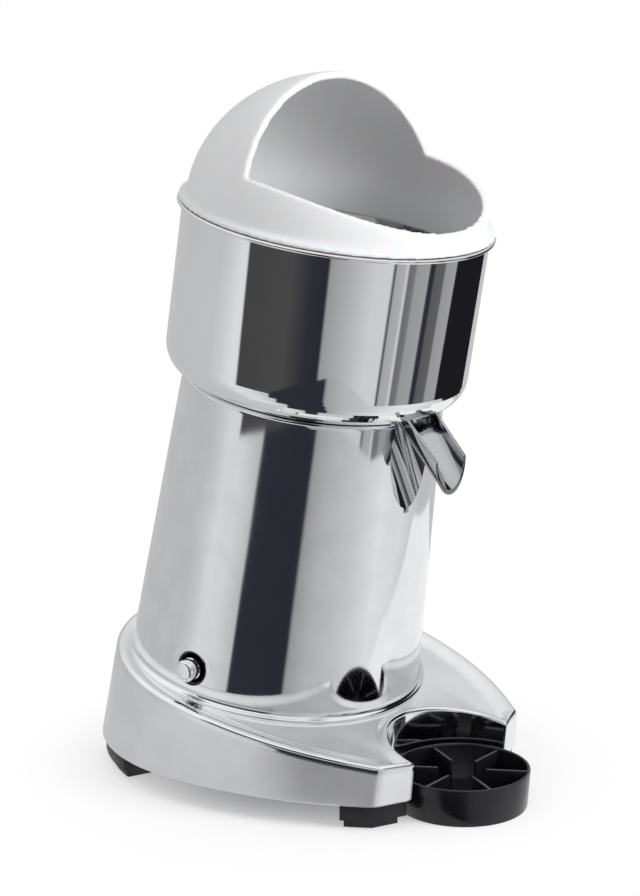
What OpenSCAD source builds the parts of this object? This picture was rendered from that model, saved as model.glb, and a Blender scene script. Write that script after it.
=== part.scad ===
// Motor-driven citrus juicer for a bar. A cast tower leans forward on a
// horseshoe base and carries a steel bowl with a spout, a moulded splash
// guard and a ribbed reamer. A drip tray stands in the horseshoe.
// Millimetres. The front is -Y, and the table is the plane z = 0.

/* [Base casting] */
// Radius of the rounded back of the base
base_r = 100; // [92:1:112]
// From the centre of the back arc forward to a prong's outer corner
prong_reach = 121; // [112:1:130]
// From the middle plane out to a prong's outer corner
prong_half = 61.2; // [58:0.2:66]
// How far a prong's inner corner stands in front of the outer one
prong_nose = 7.5; // [4:0.5:8.5]
// Height of the base's rim at its back
rim_back_h = 83; // [76:1:92]
// Height of the rim at the prongs
rim_front_h = 31; // [27:1:36]
// Height of the casting's underside above the table
base_gap = 13; // [10:0.5:16]
// Thickness of the casting's walls
cast_wall = 5; // [4:0.5:6.5]
// How far the outer wall draws in up to the rim
base_draft = 1.5; // [0.5:0.5:3]
// Rounding of the rim
rim_round = 4; // [2.5:0.5:7]
// Gap between the drip tray and the horseshoe around it
tray_gap = 3.5; // [2:0.5:6]
// Height of the horseshoe's inner edge beside the middle of the tray
cut_edge_h = 35; // [32:0.5:38]

/* [Tower] */
// Forward lean of the tower and everything on it
lean = 10; // [4:0.5:12]
// Where the tower's axis meets the table, behind the back arc's centre
axis_back = 12; // [6:1:18]
// Height of the bowl's seat along the leaning axis
seat_h = 220; // [212:1:235]
// Diameter of the tower at the bowl's seat
tower_top_d = 142; // [136:1:148]
// Height of the plinth's edge along the axis
plinth_h = 64.5; // [61:0.5:68]
// How far the plinth's edge is smaller in radius than the back of the base
plinth_inset = 11.5; // [9.5:0.5:13]
// How far the plinth's edge stands out from the tower
plinth_flare = 8; // [5.5:0.5:10]
// Thickness of the tower's top plate
top_plate = 6; // [5:0.5:8]
// Radius of the scooped flute under the spout
scoop_r = 15.7; // [14.5:0.1:17]
// How far below the bowl's seat the flute runs out of the tower's face
scoop_drop = 48.5; // [42:0.5:54]
// Angle between the flute and the tower's axis
scoop_angle = 35; // [30:1:40]

/* [Bowl] */
// Outer diameter of the bowl's wall
bowl_d = 164; // [158:1:170]
// Depth of the bowl from its bead to its underside
bowl_depth = 92; // [85:1:100]
// Thickness of the steel sheet
sheet = 1.2; // [0.8:0.1:2]
// Outer radius of the bowl's bottom corner
bowl_corner = 15; // [10:0.5:18]
// Thickness of the rolled bead around the rim
bead_d = 2.2; // [1.8:0.1:3]
// How far the bead stands out from the wall
bead_out = 3; // [2.6:0.1:4]
// Outer diameter of the tube that rises round the shaft
chimney_d = 32; // [30:0.5:36]
// Height of that tube above the bowl's underside
chimney_h = 20; // [18:0.5:24]
// Thickness of the seat's rubber ring
gasket_t = 2; // [1.5:0.1:3]

/* [Spout] */
// Outer diameter of the half-round spout
spout_d = 25.4; // [22:0.1:28]
// Thickness of the spout's wall
spout_wall = 1.8; // [1.2:0.1:2.4]
// Slope of the spout against the bowl's floor
spout_slope = 37; // [32:0.5:42]
// How far the spout's end stands in front of the bowl's wall
spout_ahead = 15.5; // [12:0.5:22]
// How far the end's top corners lie below the bowl's underside
spout_drop = 13; // [11:0.5:16]

/* [Splash guard] */
// How far the guard's dome stands in from the bowl's wall
guard_inset = 1.3; // [0.5:0.1:3]
// Height of the dome above its flange
guard_rise = 74; // [68:1:80]
// Thickness of the guard
guard_wall = 4; // [2.6:0.1:4.6]
// Thickness of the flange that lies on the bead
flange_t = 2.4; // [1.8:0.1:3.4]
// Depth of the skirt that locates the guard inside the bowl
guard_skirt = 18; // [12:0.5:22]
// How far in front of the axis the arch stands at the flange
arch_front = 5.8; // [2:0.2:9]
// Backward lean of the arch's plane
arch_lean = 16.5; // [12:0.5:20]
// Height of the guard's lip beside the arch
lip_side_h = 25.5; // [20:0.5:30]
// Height of the guard's lip at the front
lip_front_h = 9; // [7:0.5:12]

/* [Reamer and strainer] */
// Diameter of the reamer's base
reamer_d = 72; // [66:1:78]
// Height of the reamer's cone
reamer_h = 46; // [40:1:50]
// Number of ribs round the reamer
reamer_ribs = 12; // [8:1:16]
// Height of the strainer's plate above the bowl's underside
strainer_lift = 12; // [10:0.5:14]
// Thickness of the strainer's plate
strainer_t = 1.6; // [1.2:0.1:2.4]

/* [Motor] */
// Diameter of the motor shaft
shaft_d = 12; // [10:0.5:13]
// Diameter of the shaft's end that carries the reamer
spigot_d = 10; // [8:0.5:11]
// Outer diameter of the stator
stator_d = 110; // [104:1:114]
// Clearance between the motor's fan and the switch below it
fan_gap = 3.7; // [2:0.1:8]
// Diameter of the rotor
rotor_d = 60; // [52:1:64]
// Outer diameter of the two ball bearings
bearing_d = 32; // [28:1:35]
// Width of a ball bearing
bearing_w = 10; // [8:0.5:11]
// Gap between the motor and the tower's top plate
motor_drop = 27; // [26:0.5:30]

/* [Drip tray] */
// Diameter of the drip tray's rim
tray_d = 73; // [68:1:78]
// Height of the drip tray
tray_h = 20.8; // [17:0.2:26]
// Thickness of the tray's wall, floor and ribs
tray_wall = 1.8; // [1.4:0.1:2.6]
// Number of ribs in the tray
tray_ribs = 6; // [4:1:10]

/* [Switch] */
// Diameter of the recess in the tower's side
cup_d = 19; // [17:0.5:21]
// Height of the switch along the tower's axis
switch_h = 71.6; // [70:0.2:76]
// Angle of the switch round the tower from its front
switch_turn = 84.5; // [78:0.5:92]
// Diameter of the push button
button_d = 12; // [9.5:0.2:13]
// Travel of the push button
button_travel = 3; // [2:0.5:4]

/* [Clearances] */
// Clearance between pieces that lift, slide or push
loose = 0.3; // [0.2:0.05:0.5]
// Running clearance round the spinning shaft
running = 0.05; // [0.02:0.01:0.1]

/* [Hidden] */
$fn = 96;
overrun = 1;
big = 2 * (base_r + prong_reach);

// Screws, bosses and small metal parts
gasket_w = 18;
winding_gap = 3;
winding_round = 4;
bearing_stop = 2;
bearing_wall = 3;
tie_boss_r = 4.5;
tie_thread_h = 12;
shield_vent_r = 4;
rotor_over = 2;
fan_hub_r = 10;
spigot_tip = 1;
reamer_tip_r = 3;
reamer_skirt_h = 6;
vent_w = 4;
vent_len = 36;
vent_pitch = 12;
vent_back = -30;
tray_draft = 1.3;
tray_open_share = 0.35;
tray_turn = 3.5;
cap_r = 16;
cap_len = 68;
cap_back = 46;
clip_w = 12;
clip_t = 1.5;
block_pitch = 12;
screw_r = 2;
screw_head_r = 4;
screw_head_t = 2.4;
boss_r = 6;
thread_h = 10;
plate_t = 2;
switch_r = 8;
tie_rim = 1;
seal_w = 7;

// Cord gland
gland_r = 8;
gland_hole_r = 6;
gland_proud = 3;
gland_h = base_gap + 3 * gland_r;

// Heights along the tower's axis
plinth_r = base_r - plinth_inset;
tower_foot_d = 2 * (plinth_r - plinth_flare);
taper = (tower_foot_d - tower_top_d) / 2 / (seat_h - plinth_h);
rim_h = seat_h + bowl_depth;
tower_top_h = seat_h - 2 * loose;
scoop_end_h = seat_h - scoop_drop;
tower_edge = 2.5;
gasket_low_h = seat_h - loose - gasket_t;
gasket_r = tower_top_d / 2 - 2 * tower_edge - overrun;
plate_low_h = gasket_low_h - top_plate;
shield_plate = 4;
shield_h = 22;
winding_h = 13;
bush_t = 3;
air_gap = 0.5;
motor_top_h = plate_low_h - motor_drop;
stack_top_h = motor_top_h - shield_h;
fan_low_h = switch_h + switch_r + fan_gap;
fan_h = bearing_w;
motor_low_h = fan_low_h + fan_h + screw_head_t;
stack_low_h = motor_low_h + shield_h;
stack_h = stack_top_h - stack_low_h;
shaft_r = shaft_d / 2;
spigot_r = spigot_d / 2;
stator_r = stator_d / 2;
rotor_r = rotor_d / 2;
bearing_r = bearing_d / 2;
shield_wall = 4;
shield_r = stator_r + shield_wall / 2;
tie_circle_r = stator_r - shield_wall - tie_rim;
mount_circle_r = tie_circle_r - screw_head_r;
chimney_r = chimney_d / 2;
reamer_low_h = seat_h + chimney_h + gasket_t;
spigot_low_h = seat_h + chimney_h - shield_plate;
spigot_top_h = reamer_low_h + reamer_h * 0.72;
pin_h = reamer_low_h + bearing_w;
pin_r = spigot_d * 0.15;
pin_half = spigot_d * 1.1;
seal_r = shaft_r + seal_w;

// The long side arcs leave the back arc smoothly and end at the prongs' outer corners
side_in = base_r - prong_half;
side_r = (side_in * side_in + prong_reach * prong_reach) / (2 * side_in);

// The tower's outer radius, and the base's rim
function tower_r(h) = tower_top_d / 2 + (seat_h - h) * taper;
rim_slope = (rim_back_h - rim_front_h) / (prong_reach + base_r);
rim_mid_h = rim_front_h + rim_slope * prong_reach;
tray_r = tray_d / 2;
tray_ahead = 9;
tray_y = prong_reach + tray_ahead;
cut_r = tray_r + tray_gap;
cut_slope = rim_slope * 0.55;
cut_lip = 3;
centre_y = (base_r + gland_proud - tray_y - tray_r) / 2;

// Feet, plate and boss places
foot_inset = 2;
foot_length = 22;
foot_width = 22;
pad_h = 4.5;
pad_inset = 3;
foot_turns = [18, 50];
foot_screw_r = 2.5;
plate_screw_shares = [[0.86, 0.06], [0.34, 0.80], [0.78, -0.58]];
function side_x(y) = sqrt(side_r * side_r - y * y) - side_r + base_r;
front_screw_y = -prong_reach + foot_length * 0.42;
front_screw_x = (side_x(front_screw_y) - cast_wall
    + sqrt(pow(cut_r + cast_wall, 2) - pow(front_screw_y + tray_y, 2))) / 2;
rear_screw_r = base_r - foot_inset - foot_width / 2;
rear_screw_turn = (foot_turns[0] + foot_turns[1]) / 2;
foot_places = [
    [front_screw_x, front_screw_y],
    rear_screw_r * [cos(rear_screw_turn), sin(rear_screw_turn)]];
plate_places = [for (share = plate_screw_shares) base_r * share];

// Switch, measured outwards from the tower's axis
cup_wall = 1.2;
cup_base_t = 2;
cup_depth = 18;
cup_flange_w = 3.5;
cup_face = tower_r(switch_h);
cup_floor_z = cup_face - cup_depth;
cup_flange_r = cup_d / 2 + cup_flange_w;
bush_r = 6;
bush_wall = 2;
bush_h = 8;
nut_r = 7.5;
nut_t = 2.6;
switch_len = 22;
button_r = button_d / 2;
button_proud = 8;
button_h = 13;
stem_low_z = cup_floor_z - cup_base_t - switch_len * 0.4;

// Guard, spout and flute
guard_h = rim_h + bead_d / 2 + loose;
guard_r = bowl_d / 2 - guard_inset;
flange_r = bowl_d / 2 + bead_out - bead_d / 4;
skirt_r = bowl_d / 2 - sheet - loose;
guard_fillet = 2.5;
lip_bulge = 4;
spout_r = spout_d / 2;
spout_end_h = seat_h - spout_drop;
spout_reach = bowl_d / 2 + spout_ahead;
scoop_wall = 4;
spout_run = (spout_drop + bowl_corner) / sin(spout_slope);
strainer_r = bowl_d / 2 - sheet - 5 * loose;
strainer_rim = 8;

function arc(c, r, from, to, n) =
    [for (i = [0 : n]) let (a = from + (to - from) * i / n) c + r * [cos(a), sin(a)]];

// The base's convex outline, drawn in by inset from its outer wall
function side_end(inset) = asin((prong_reach - inset) / (side_r - inset));
function outline(inset) = concat(
    arc([0, 0], base_r - inset, 180, 0, 40),
    arc([base_r - side_r, 0], side_r - inset, 0, -side_end(inset), 16),
    [for (s = [1, -1]) [s * cut_r, inset - prong_reach - prong_nose]],
    arc([side_r - base_r, 0], side_r - inset, 180 + side_end(inset), 180, 16));

module placed() { translate([0, -centre_y, 0]) children(); }
module in_tower(h = 0) {
    placed() translate([0, axis_back, 0]) rotate([lean, 0, 0]) translate([0, 0, h]) children();
}
// Frame of the switch: z runs outwards from the tower's axis
module at_switch() { in_tower(switch_h) rotate([0, 0, -90 - switch_turn]) rotate([0, 90, 0]) children(); }
module tube(outer, inner, height) {
    difference() {
        cylinder(r = outer, h = height);
        translate([0, 0, -overrun]) cylinder(r = inner, h = height + 2 * overrun);
    }
}
module around(radius, count, turn = 0) {
    for (i = [0 : count - 1]) rotate([0, 0, turn + 360 * i / count]) translate([radius, 0, 0]) children();
}
module both_sides() {
    children();
    mirror([1, 0, 0]) children();
}
module rounded_ring(inner, outer, height, round) {
    rotate_extrude() {
        translate([inner + round, 0]) square([outer - inner - 2 * round, height]);
        translate([inner, round]) square([outer - inner, height - 2 * round]);
        for (x = [inner + round, outer - round], y = [round, height - round]) translate([x, y]) circle(round);
    }
}

// A thin sheet of a flat shape that follows the slope along Y
module sloped_sheet(height, slope, film) {
    multmatrix([[1, 0, 0, 0], [0, 1, 0, 0], [0, slope, 1, height - film], [0, 0, 0, 1]])
        linear_extrude(film) children();
}
module below_rim(drop) {
    translate([0, 0, rim_mid_h - drop]) rotate([atan(rim_slope), 0, 0])
        translate([-big, -big, -2 * big]) cube(2 * big);
}
module tray_well(radius) { translate([0, -tray_y, -overrun]) cylinder(r = radius, h = big); }

// Outer shape of the horseshoe base, with its rounded rim
module base_block() {
    film = overrun / 5;
    difference() {
        hull() {
            translate([0, 0, base_gap]) linear_extrude(film) polygon(outline(0));
            for (turn = [0 : 30 : 90])
                sloped_sheet(rim_mid_h - rim_round * (1 - sin(turn)), rim_slope, film)
                    polygon(outline(base_draft + rim_round * (1 - cos(turn))));
            sloped_sheet(cut_edge_h + cut_slope * tray_y, cut_slope, film) intersection() {
                translate([0, -tray_y]) circle(cut_r + cut_lip);
                polygon(outline(base_draft + rim_round));
            }
        }
        tray_well(cut_r);
    }
}
module base_cavity() {
    difference() {
        intersection() {
            translate([0, 0, base_gap - overrun]) linear_extrude(big) polygon(outline(cast_wall));
            below_rim(cast_wall + base_draft);
        }
        tray_well(cut_r + cast_wall);
    }
}
// The tower's outside, a taper that flares out to the plinth's edge
module tower_block() {
    low = plinth_h - 2.5 * cast_wall;
    rotate_extrude() polygon(concat(
        [[0, low], [plinth_r, low]],
        arc([plinth_r, plinth_h + plinth_flare], plinth_flare, 270, 180, 8),
        arc([tower_r(tower_top_h) - tower_edge, tower_top_h - tower_edge], tower_edge, 0, 90, 8),
        [[0, tower_top_h]]));
}
// The tower's inside, below its top plate and clear of the flute
module tower_cavity() {
    difference() {
        cylinder(r1 = tower_r(0) - cast_wall, r2 = tower_r(plate_low_h) - cast_wall, h = plate_low_h);
        flute(scoop_r + scoop_wall);
        at_pillars() cylinder(r = boss_r, h = big);
    }
}
module at_pillars() {
    around(mount_circle_r, 4, 45) translate([0, 0, motor_top_h + bush_t]) children();
}
// A cylinder along the flute, whose underside leaves the tower at scoop_end_h
module flute(radius) {
    translate([0, -tower_r(scoop_end_h), scoop_end_h]) rotate([-scoop_angle, 0, 0])
        translate([0, -scoop_r, -tower_top_d]) cylinder(r = radius, h = 2 * tower_top_d);
}
module body_casting() color("#c9ccd0") difference() {
    union() {
        difference() {
            union() {
                placed() base_block();
                in_tower() tower_block();
            }
            placed() base_cavity();
            in_tower() tower_cavity();
        }
        placed() intersection() {
            both_sides() for (place = concat(plate_places, foot_places))
                translate([place[0], place[1], base_gap + plate_t]) cylinder(r = boss_r, h = big);
            below_rim(cast_wall);
        }
        at_switch() translate([0, 0, cup_floor_z]) cylinder(r = cup_flange_r, h = tower_r(switch_h) - cup_floor_z - overrun);
    }
    in_tower() flute(scoop_r);
    in_tower(plate_low_h - overrun) cylinder(r = seal_r, h = big);
    in_tower(gasket_low_h) tube(gasket_r, gasket_r - gasket_w, big);
    in_tower() at_pillars() translate([0, 0, -overrun]) cylinder(r = screw_r, h = thread_h + overrun);
    placed() both_sides() {
        for (place = plate_places) translate(place) cylinder(r = screw_r, h = base_gap + plate_t + thread_h);
        for (place = foot_places) translate(place) cylinder(r = foot_screw_r, h = base_gap + plate_t + thread_h);
    }
    at_switch() translate([0, 0, cup_floor_z - overrun]) cylinder(r = cup_d / 2, h = big);
    placed() translate([0, base_r - 2 * cast_wall, gland_h]) rotate([-90, 0, 0]) cylinder(r = gland_hole_r, h = big);
}

// Bottom plate, feet and their screws
module plate_shape() difference() {
    polygon(outline(cast_wall + loose));
    translate([0, -tray_y]) circle(cut_r + cast_wall + loose);
}
module bottom_plate() color("#8f9399") placed() difference() {
    translate([0, 0, base_gap]) linear_extrude(plate_t) plate_shape();
    both_sides() {
        for (place = plate_places) translate(place) cylinder(r = screw_r, h = big);
        for (place = foot_places) translate(place) cylinder(r = foot_screw_r, h = big);
    }
    for (i = [-3 : 3]) translate([i * vent_pitch - vent_w / 2, vent_back, 0]) cube([vent_w, vent_len, big]);
}
module bottom_plate_screws() color("silver") placed() both_sides() for (place = plate_places)
    translate([place[0], place[1], base_gap - screw_head_t]) {
        cylinder(r = screw_head_r, h = screw_head_t);
        cylinder(r = screw_r, h = screw_head_t + plate_t + thread_h - overrun);
    }
module front_foot_shape(inset) difference() {
    intersection() {
        polygon(outline(foot_inset + inset));
        translate([0, -big]) square([big, big - prong_reach + foot_length - inset]);
    }
    translate([0, -tray_y]) circle(cut_r + foot_inset + inset);
}
module rear_foot_shape(inset) {
    turn = inset / base_r * 180 / PI;
    polygon(concat(
        arc([0, 0], base_r - foot_inset - inset, foot_turns[0] + turn, foot_turns[1] - turn, 12),
        arc([0, 0], base_r - foot_inset - foot_width + inset, foot_turns[1] - turn, foot_turns[0] + turn, 12)));
}
module foot(place) difference() {
    union() {
        translate([0, 0, pad_h]) linear_extrude(base_gap - pad_h) children(0);
        linear_extrude(pad_h) children(1);
    }
    translate([place[0], place[1], -overrun]) {
        cylinder(r = screw_head_r + loose, h = pad_h + screw_head_t + overrun);
        cylinder(r = foot_screw_r, h = big);
    }
}
module front_foot() foot(foot_places[0]) { front_foot_shape(0); front_foot_shape(pad_inset); }
module rear_foot() foot(foot_places[1]) { rear_foot_shape(0); rear_foot_shape(pad_inset); }
module front_left_foot() color("#1b1b1e") placed() mirror([1, 0, 0]) front_foot();
module front_right_foot() color("#1b1b1e") placed() front_foot();
module rear_left_foot() color("#1b1b1e") placed() mirror([1, 0, 0]) rear_foot();
module rear_right_foot() color("#1b1b1e") placed() rear_foot();
module foot_screws() color("silver") placed() both_sides() for (place = foot_places)
    translate([place[0], place[1], pad_h]) {
        cylinder(r = screw_head_r, h = screw_head_t);
        cylinder(r = foot_screw_r, h = base_gap + plate_t + thread_h - pad_h - overrun);
    }

// Seat and seal on the tower's top plate
module bowl_gasket() color("#202022") in_tower() difference() {
    translate([0, 0, gasket_low_h]) tube(gasket_r, gasket_r - gasket_w, gasket_t);
    flute(scoop_r);
}
module shaft_seal() color("#202022") in_tower(plate_low_h) difference() {
    tube(seal_r, shaft_r + running, top_plate);
    translate([0, 0, top_plate / 2]) tube(seal_r - gasket_t, shaft_r + gasket_t, top_plate);
}

// Motor
module stator_core() color("#6f737a") in_tower(stack_low_h) difference() {
    tube(stator_r, rotor_r + air_gap, stack_h);
    translate([0, 0, -overrun]) around(tie_circle_r, 4) cylinder(r = screw_r, h = big);
}
module winding() {
    rounded_ring(rotor_r + winding_gap, mount_circle_r - overrun, winding_h, winding_round);
}
module upper_winding() color("#b8702e") in_tower(stack_top_h) winding();
module lower_winding() color("#b8702e") in_tower(stack_low_h - winding_h) winding();
module motor_shield(bolt_depth) difference() {
    union() {
        tube(shield_r, shield_r - shield_wall, shield_h);
        translate([0, 0, shield_h - shield_plate]) cylinder(r = shield_r, h = shield_plate);
        translate([0, 0, shield_h - bearing_w - bearing_stop])
            cylinder(r = bearing_r + bearing_wall, h = bearing_w + bearing_stop);
        around(tie_circle_r, 4) cylinder(r = tie_boss_r, h = shield_h);
    }
    translate([0, 0, -overrun]) {
        cylinder(r = bearing_r, h = shield_h - bearing_stop + overrun);
        cylinder(r = shaft_r + overrun, h = big);
        around(tie_circle_r, 4) cylinder(r = screw_r, h = bolt_depth + overrun);
        around(mount_circle_r, 4, 45) cylinder(r = screw_r, h = big);
        around((bearing_r + mount_circle_r) / 2, 8, 22.5) cylinder(r = shield_vent_r, h = big);
    }
}
module upper_motor_shield() color("#a4a8ad") in_tower(stack_top_h) motor_shield(tie_thread_h);
module lower_motor_shield() color("#a4a8ad") in_tower(stack_low_h) mirror([0, 0, 1]) motor_shield(big);
module motor_tie_bolts() color("silver") in_tower(motor_low_h - screw_head_t) around(tie_circle_r, 4) {
    cylinder(r = screw_head_r, h = screw_head_t);
    cylinder(r = screw_r, h = stack_top_h + tie_thread_h - motor_low_h + screw_head_t - overrun);
}
module motor_bushes() color("#202022") in_tower(motor_top_h)
    around(mount_circle_r, 4, 45) tube(boss_r, screw_r, bush_t);
module motor_screws() color("silver") in_tower(motor_top_h - shield_plate - screw_head_t)
    around(mount_circle_r, 4, 45) {
        cylinder(r = screw_head_r, h = screw_head_t);
        cylinder(r = screw_r, h = screw_head_t + shield_plate + bush_t + thread_h - overrun);
    }
module bearing() difference() {
    tube(bearing_r, shaft_r + running, bearing_w);
    for (z = [-overrun, bearing_w - overrun / 2])
        translate([0, 0, z]) tube(bearing_r - bearing_wall, shaft_r + bearing_wall, 1.5 * overrun);
}
module upper_bearing() color("#c2c6ca") in_tower(motor_top_h - bearing_stop - bearing_w) bearing();
module lower_bearing() color("#c2c6ca") in_tower(motor_low_h + bearing_stop) bearing();

// What spins with the motor
module motor_shaft() color("#b9bdc2") in_tower() difference() {
    union() {
        translate([0, 0, fan_low_h - shield_plate]) cylinder(r = shaft_r, h = spigot_low_h - fan_low_h + shield_plate);
        translate([0, 0, spigot_low_h]) cylinder(r = spigot_r, h = spigot_top_h - spigot_low_h - spigot_tip);
        translate([0, 0, spigot_top_h - spigot_tip]) cylinder(r1 = spigot_r, r2 = spigot_r - spigot_tip, h = spigot_tip);
    }
    translate([0, 0, pin_h]) rotate([0, 90, 0]) cylinder(r = pin_r, h = 2 * pin_half, center = true);
}
module drive_pin() color("#d9dce0") in_tower(pin_h) rotate([0, 90, 0])
    cylinder(r = pin_r, h = 2 * pin_half, center = true);
module rotor_core() color("#7b7f86") in_tower(stack_low_h - rotor_over)
    tube(rotor_r, shaft_r, stack_h + 2 * rotor_over);
module cooling_fan() color("#2c2d31") in_tower(fan_low_h) {
    tube(fan_hub_r, shaft_r, fan_h);
    tube(mount_circle_r - screw_head_r, fan_hub_r, plate_t);
    around(fan_hub_r - overrun, 8) translate([0, -plate_t / 2, 0])
        cube([mount_circle_r - screw_head_r - fan_hub_r, plate_t, fan_h]);
}
module slinger_disc() color("#202022") in_tower(seat_h + gasket_t)
    tube(chimney_r - sheet - gasket_t, shaft_r, gasket_t);

// Reamer: a cone whose sharp ribs run together at a blunt tip
reamer_levels = 10;
reamer_valley_share = 0.80;
reamer_flank_share = 0.86;
reamer_base_t = 3;
reamer_skirt_t = 2;
function reamer_r(t) = (reamer_d / 2 - reamer_tip_r - overrun) * pow(1 - pow(t, 1.7), 0.8) + reamer_tip_r;
function flute_share(k, t) = let (depth = [1, reamer_flank_share, reamer_valley_share, reamer_flank_share][k % 4])
    1 - (1 - depth) * (1 - t * t);
module reamer_cone() {
    around_n = 4 * reamer_ribs;
    rise = reamer_h - reamer_base_t;
    points = concat(
        [for (i = [0 : reamer_levels - 1], k = [0 : around_n - 1])
            let (t = i / reamer_levels, r = reamer_r(t) * flute_share(k, t), a = 360 * k / around_n)
            [r * cos(a), r * sin(a), rise * t]],
        [[0, 0, 0], [0, 0, rise]]);
    last = (reamer_levels - 1) * around_n;
    centre = len(points) - 2;
    faces = concat(
        [for (i = [0 : reamer_levels - 2], k = [0 : around_n - 1], half = [0, 1])
            let (a = i * around_n + k, b = i * around_n + (k + 1) % around_n)
            half == 0 ? [a, a + around_n, b] : [b, a + around_n, b + around_n]],
        [for (k = [0 : around_n - 1]) [(k + 1) % around_n, centre, k]],
        [for (k = [0 : around_n - 1]) [last + k, centre + 1, last + (k + 1) % around_n]]);
    polyhedron(points, faces);
}
module reamer() color("#e9eaec") in_tower(reamer_low_h) difference() {
    union() {
        cylinder(r = reamer_d / 2, h = reamer_base_t);
        translate([0, 0, reamer_base_t]) reamer_cone();
        translate([0, 0, -reamer_skirt_h])
            tube(chimney_r + reamer_skirt_t * 2, chimney_r + reamer_skirt_t, reamer_skirt_h + overrun);
    }
    translate([0, 0, -overrun]) {
        cylinder(r = spigot_r + running, h = spigot_top_h - reamer_low_h + 2 * overrun);
        translate([-pin_half - loose, -pin_r - loose, 0])
            cube([2 * (pin_half + loose), 2 * (pin_r + loose), pin_h - reamer_low_h + pin_r + loose + overrun]);
    }
}

// Bowl, spout and strainer
module bowl_shape(inset, top) polygon(concat(
    [[0, top], [0, seat_h + inset]],
    arc([bowl_d / 2 - bowl_corner, seat_h + bowl_corner], bowl_corner - inset, 270, 360, 12),
    [[bowl_d / 2 - inset, top]]));
module bowl() color("#c5c8cc") in_tower() difference() {
    rotate_extrude() {
        difference() {
            bowl_shape(0, rim_h + bead_d / 2);
            bowl_shape(sheet, big);
        }
        translate([bowl_d / 2 - sheet, rim_h - bead_d / 2]) square([sheet + bead_out - bead_d / 2, bead_d]);
        translate([bowl_d / 2 + bead_out - bead_d / 2, rim_h]) circle(bead_d / 2);
    }
    cylinder(r = chimney_r - sheet, h = big);
    spout_bar(spout_r - spout_wall);
}
module bowl_chimney() color("#c5c8cc") in_tower(seat_h + sheet)
    tube(chimney_r, chimney_r - sheet, chimney_h - sheet);
module along_spout() {
    translate([0, -spout_reach, spout_end_h]) rotate([spout_slope - 90, 0, 0]) children();
}
// The lower half of a round bar along the spout
module spout_bar(radius) along_spout() intersection() {
    translate([0, 0, -spout_d]) cylinder(r = radius, h = spout_run + spout_d);
    translate([-big / 2, 0, -big / 2]) cube(big);
}
module spout() color("#c5c8cc") in_tower() difference() {
    spout_bar(spout_r);
    along_spout() translate([0, 0, -2 * spout_d]) cylinder(r = spout_r - spout_wall, h = big);
    rotate_extrude() bowl_shape(0, big);
    translate([0, -spout_reach, spout_end_h]) rotate([-lean, 0, 0]) translate([-big / 2, -big, -big / 2]) cube(big);
}
strainer_rings = [0.42, 0.60, 0.78];
strainer_counts = [16, 24, 32];
slot_share = 0.13;
module strainer() color("#b4b8bd") in_tower(seat_h + strainer_lift) {
    difference() {
        cylinder(r = strainer_r, h = strainer_t);
        translate([0, 0, -overrun]) cylinder(r = chimney_r + loose, h = big);
        for (i = [0 : len(strainer_rings) - 1])
            around(strainer_rings[i] * strainer_r, strainer_counts[i], 180 / strainer_counts[i])
                translate([0, -strainer_t * 0.75, -overrun]) cube([slot_share * strainer_r, strainer_t * 1.5, big]);
    }
    tube(strainer_r, strainer_r - strainer_t, strainer_rim);
    translate([0, 0, sheet - strainer_lift]) around(strainer_r * 0.68, 3, 90)
        cylinder(r = screw_head_r, h = strainer_lift - sheet + overrun / 2);
}

// Splash guard
module guard_section() {
    inner = guard_r - guard_wall;
    translate([0, guard_h]) {
        difference() {
            polygon(concat([[0, 0]], [for (f = [0 : 5 : 90]) [guard_r * cos(f), guard_rise * sin(f)]]));
            polygon(concat([[0, -overrun], [inner, -overrun]],
                [for (f = [0 : 5 : 90]) [inner * cos(f), (guard_rise - guard_wall) * sin(f)]]));
        }
        difference() {
            translate([inner, 0]) square([flange_r - inner, flange_t + guard_fillet]);
            translate([guard_r + guard_fillet, flange_t + guard_fillet]) circle(guard_fillet);
            translate([guard_r + guard_fillet, flange_t]) square([guard_fillet + bead_out, big]);
            translate([0, flange_t]) square([guard_r - guard_wall / 2, big]);
        }
        translate([skirt_r - guard_wall / 2, -guard_skirt]) square([guard_wall / 2, guard_skirt + flange_t]);
    }
}
module guard_opening() {
    side_y = lip_side_h * tan(arch_lean) - arch_front;
    lip = [for (i = [0 : 12]) let (s = i / 12)
        [side_y - s * (side_y + guard_r), lip_side_h - s * (lip_side_h - lip_front_h) + 4 * lip_bulge * s * (1 - s)]];
    rotate([90, 0, 90]) translate([0, 0, -big / 2]) linear_extrude(big) polygon(concat(
        lip, [[-big, lip_front_h], [-big, big], [big * tan(arch_lean) - arch_front, big]]));
}
module splash_guard() color("#e3e4e6") in_tower() difference() {
    rotate_extrude() guard_section();
    translate([0, 0, guard_h]) guard_opening();
}

// Drip tray: a cup with upright ribs round an open middle
module tray_solid(inset) {
    cylinder(r1 = tray_r - tray_draft - inset, r2 = tray_r - inset, h = tray_h);
}
module drip_tray() color("#19191c") placed() translate([0, -tray_y, 0]) {
    difference() {
        tray_solid(0);
        translate([0, 0, tray_wall]) tray_solid(tray_wall);
    }
    intersection() {
        tray_solid(tray_wall / 2);
        around(tray_r * tray_open_share, tray_ribs, tray_turn) translate([0, -tray_wall / 2, tray_wall / 2])
            cube([tray_r, tray_wall, tray_h]);
    }
}

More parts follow.
